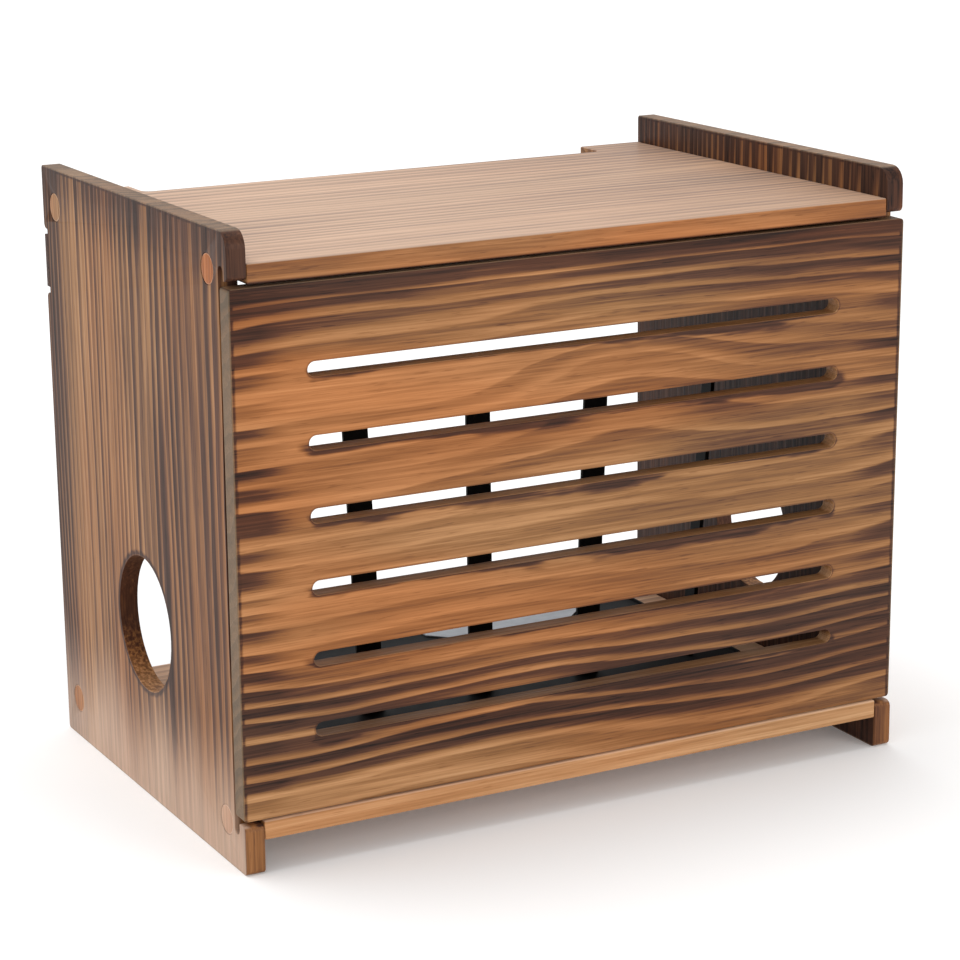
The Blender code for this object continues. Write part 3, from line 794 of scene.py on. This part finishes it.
# The slots: how far each point lies from the nearest slot's edge, below zero on its wall.
slot_boxes = [box for name, box in openings.items() if name.startswith("slot_")]
slot_heights = sorted((low[2] + high[2]) / 2 for low, high in slot_boxes)
last_slot = len(slot_heights) - 1
slot_step = (slot_heights[last_slot] - slot_heights[0]) / last_slot
nearest = wood.within(wood.maths("ROUND", (wood.z - slot_heights[0]) / slot_step), 0, last_slot)
above_slot = wood.z - slot_heights[0] - nearest * slot_step
slot_reach = wood.high.x - SLOT_MARGIN - SLOT_RADIUS
past_end = wood.within(wood.unsigned(wood.x) - slot_reach, 0.0, 1.0)
from_slot = (above_slot * above_slot + past_end * past_end) ** 0.5 - SLOT_RADIUS
slot_wall = wood.near(from_slot, *SLOT_WALL)
slot_line = wood.near(from_slot, *SLOT_LINE)
round_end = wood.fade(past_end, *SLOT_ROUND_END) * wood.fade(wood.x, 0.0, 0.01)
patch = wood.noise(SCORCH_PATCH, 4.0, 3.0)
reach = 0.0015 + wood.fade(patch, *SCORCHED_WIDE) * SCORCH_REACH
below_slot = wood.near(above_slot, *BELOW_SLOT)
scorch = wood.near(from_slot, reach * 0.2, reach) * below_slot * wood.fade(patch, *SCORCHED)

# The lower quarter and the foot.
torch = wood.torched(FRONT_TORCH, *FRONT_TORCHED)
ragged = wood.sway(RAGGED, 0.05, 2.0)
foot_height = wood.z + ragged * 0.5
lower = wood.near(wood.z + ragged, *LOWER_PART) * wood.fade(foot_height, *ABOVE_FOOT)
calm_foot = wood.near(foot_height, *CALM_FOOT)

# The top edge, charred deeper to the left.
from_top = wood.high.z - wood.z
leftward = wood.near(wood.x, *LEFT_PART)
spread = (wood.noise((6.0, 5.0, 5.0), 6.0) - 0.4) * 0.010 + leftward * 0.005
top_face = wood.near(from_top, *TOP_EDGE_FACE)
top_line = wood.near(from_top, *TOP_LINE) * (1.0 - top_face)
top_burn = wood.near(from_top - spread, *TOP_BURN)
top_shade = wood.near(from_top - leftward * 0.02, *TOP_SHADE)

# The two ends: a thin dark line, and late wood burnt inwards in spikes, longer to the left.
from_end = wood.high.x - wood.unsigned(wood.x)
rightward = wood.fade(wood.x, *RIGHT_PART)
end_line = wood.near(from_end, *END_LINE) * (1.0 - wood.end)
spike_start = from_end - wood.noise(SPIKE_FINENESS, 14.0, 1.0) * SPIKE_REACH
spikes = wood.near(spike_start, *SPIKES) * wood.late * wood.late
spikes = spikes * (0.16 + wood.each_year * 0.30) * (1.0 - rightward * 0.45)

bands = 0.03 + torch * 0.09 + wood.each_year * 0.13 + rightward * 0.02
char = FRONT_CHAR + wood.late * bands + wood.fade(wood.x, *PAST_MIDDLE) * 0.14 + torch * 0.06
char = char + lower * (0.08 + wood.late * 0.26) - calm_foot * 0.08
char = char + top_shade * (0.06 + wood.late * 0.22) + top_burn * (0.20 + wood.late * 0.22)
char = char + top_line * TOP_LINE_CHAR + end_line * END_LINE_CHAR + spikes
char = char + scorch * SCORCH_CHAR + slot_line * SLOT_LINE_CHAR
char = char * (1.0 - slot_wall) + slot_wall * (SLOT_WALL_CHAR - round_end * 0.26)
char = char * (1.0 - wood.end * 0.7) + wood.end * END_CHAR
char = char * (1.0 - top_face) + top_face * TOP_FACE_CHAR
warmth = 0.66 + top_shade * 0.34 - rightward * 0.25 - slot_wall * 0.45 - wood.end * 0.35
dull = wood.end * 0.75 + top_face * 0.6
copied("front_panel", wood.close(char, warmth, 0.0, 0.05, dull))


# ---------------------------------------------------------------------------------------------------
# Magnets and keepers. Nickel-plated discs glued into the sides' seats, and zinc-plated steel discs let
# into the back of the front, hold it on. Each has a small chamfer all round.
# ---------------------------------------------------------------------------------------------------
SAME_PLANE = math.radians(0.5)
SHARP = math.radians(40)


def softened(node, width, segments):
    """A CAD piece's shape with its flat faces made whole and its sharp edges rounded."""
    shape = bmesh.new()
    shape.from_mesh(frame["nodes"][node].data)
    bmesh.ops.remove_doubles(shape, verts=shape.verts, dist=MERGE)
    bmesh.ops.dissolve_limit(shape, angle_limit=SAME_PLANE, verts=shape.verts, edges=shape.edges)
    edges = [edge for edge in shape.edges if edge.is_manifold]
    bmesh.ops.bevel(
        shape,
        geom=[edge for edge in edges if edge.calc_face_angle() > SHARP],
        offset=width,
        affect="EDGES",
        segments=segments,
        profile=0.5,
        material=-1,
    )
    bmesh.ops.recalc_face_normals(shape, faces=shape.faces)
    return shape


CREASE = 50
MAGNET_CHAMFER = 0.0003
KEEPER_CHAMFER = 0.0002

nickel_finish = Metal("nickel_plate", tint(214, 212, 208), tint(186, 184, 180), 0.24)
nickel = nickel_finish.close(PLATED, 0.5, 0.0001)
for node in nodes_with("magnet_"):
    placed(node, meshed(softened(node, MAGNET_CHAMFER, 3), CREASE), nickel)
for node in nodes_with("keeper_"):
    placed(node, meshed(softened(node, KEEPER_CHAMFER, 2), CREASE), zinc)

# ---------------------------------------------------------------------------------------------------
# Hay rack. Flat steel bars welded to a shallow folded pan and to a rail across their tops, then coated
# all over with matt black powder. The welds stand out as small rippled beads.
# ---------------------------------------------------------------------------------------------------
PAN_ROUNDING = 0.0005
RACK_RAIL_ROUNDING = 0.0006
BAR_ROUNDING = 0.0004
BEAD = 0.0012
BEAD_SIDES = 8
BEAD_RIPPLES = 9
BEAD_INSET = 0.001
SCUFFS = (40.0, 40.0, 40.0)
PAINTED = 0.0

powder = Metal("black_powder_coat", tint(17, 17, 18), tint(25, 25, 26), 0.62, 1400.0)
scuff = powder.fade(powder.cloud(powder.place, SCUFFS, (4.0, 4.0, 4.0), 5.0, 0.7), 0.62, 0.72)
powder.colour = powder.mix(scuff * 0.35, powder.colour, (*tint(62, 60, 58), 1.0))
powder.roughness = powder.roughness + scuff * 0.12
black = powder.close(PAINTED, 0.18, 0.0002)


def weld(shape, start, end):
    """Adds a closed bead from start to end whose thickness goes up and down."""
    run = Vector(end) - Vector(start)
    steps = BEAD_RIPPLES * 4
    profile = [(0.0, 0.0)]
    for step in range(steps + 1):
        share = step / steps
        swell = math.sin(math.pi * min(max(share, 0.03), 0.97)) ** 0.4
        ripple = 0.88 + 0.12 * math.cos(math.tau * BEAD_RIPPLES * share)
        profile.append((run.length * share, BEAD * swell * ripple))
    profile.append((run.length, 0.0))
    bead = seated(turned(profile, BEAD_SIDES), start, run)
    shape.from_mesh(bead)
    bpy.data.meshes.remove(bead)


for node, rounding in (("hay_tray", PAN_ROUNDING), ("rack_top_rail", RACK_RAIL_ROUNDING)):
    placed(node, meshed(softened(node, rounding, 2), CREASE), black)

for node in nodes_with("rack_bar_"):
    points = [vertex.co for vertex in frame["nodes"][node].data.vertices]
    base = min(point.z for point in points)
    top = max(point.z for point in points)
    low_end = [point for point in points if point.z < base + 0.001]
    high_end = [point for point in points if point.z > top - 0.001]
    bar = softened(node, BAR_ROUNDING, 2)
    for corners, height in ((low_end, base + BEAD * 0.4), (high_end, top - BEAD * 0.2)):
        left, right = min(point.x for point in corners), max(point.x for point in corners)
        near, far = min(point.y for point in corners), max(point.y for point in corners)
        if right - left > far - near:
            for y in (near, far):
                weld(bar, (left + BEAD_INSET, y, height), (right - BEAD_INSET, y, height))
        else:
            for x in (left, right):
                weld(bar, (x, near + BEAD_INSET, height), (x, far - BEAD_INSET, height))
    placed(node, meshed(bar, CREASE), black)

# ---------------------------------------------------------------------------------------------------
# Liner. A coated steel plate with its front corners cut off, loose on the pan behind the bars. Its pale
# grey is painted shade, the floor in shadow seen through the open back. It lifts out for cleaning, and
# hay has left faint scuffs along it.
# ---------------------------------------------------------------------------------------------------
LINER_ROUNDING = 0.0003
HAY_SCUFFS = (14.0, 160.0, 60.0)

# Painted shade: this pale grey stands for the floor in shadow, seen through the open back.
shaded_floor_stand_in = Metal("pale_grey_coat", tint(178, 182, 188), tint(168, 172, 178), 0.46, 1200.0)
scuff = shaded_floor_stand_in.fade(shaded_floor_stand_in.cloud(shaded_floor_stand_in.place, HAY_SCUFFS, (6.0, 2.0, 1.0), 4.0, 0.6), 0.55, 0.75)
shaded_floor_stand_in.colour = shaded_floor_stand_in.mix(scuff * 0.4, shaded_floor_stand_in.colour, (*tint(140, 142, 146), 1.0))
liner = meshed(softened("tray_liner", LINER_ROUNDING, 2), CREASE)
placed("tray_liner", liner, shaded_floor_stand_in.close(PAINTED, 0.45, 0.0001))
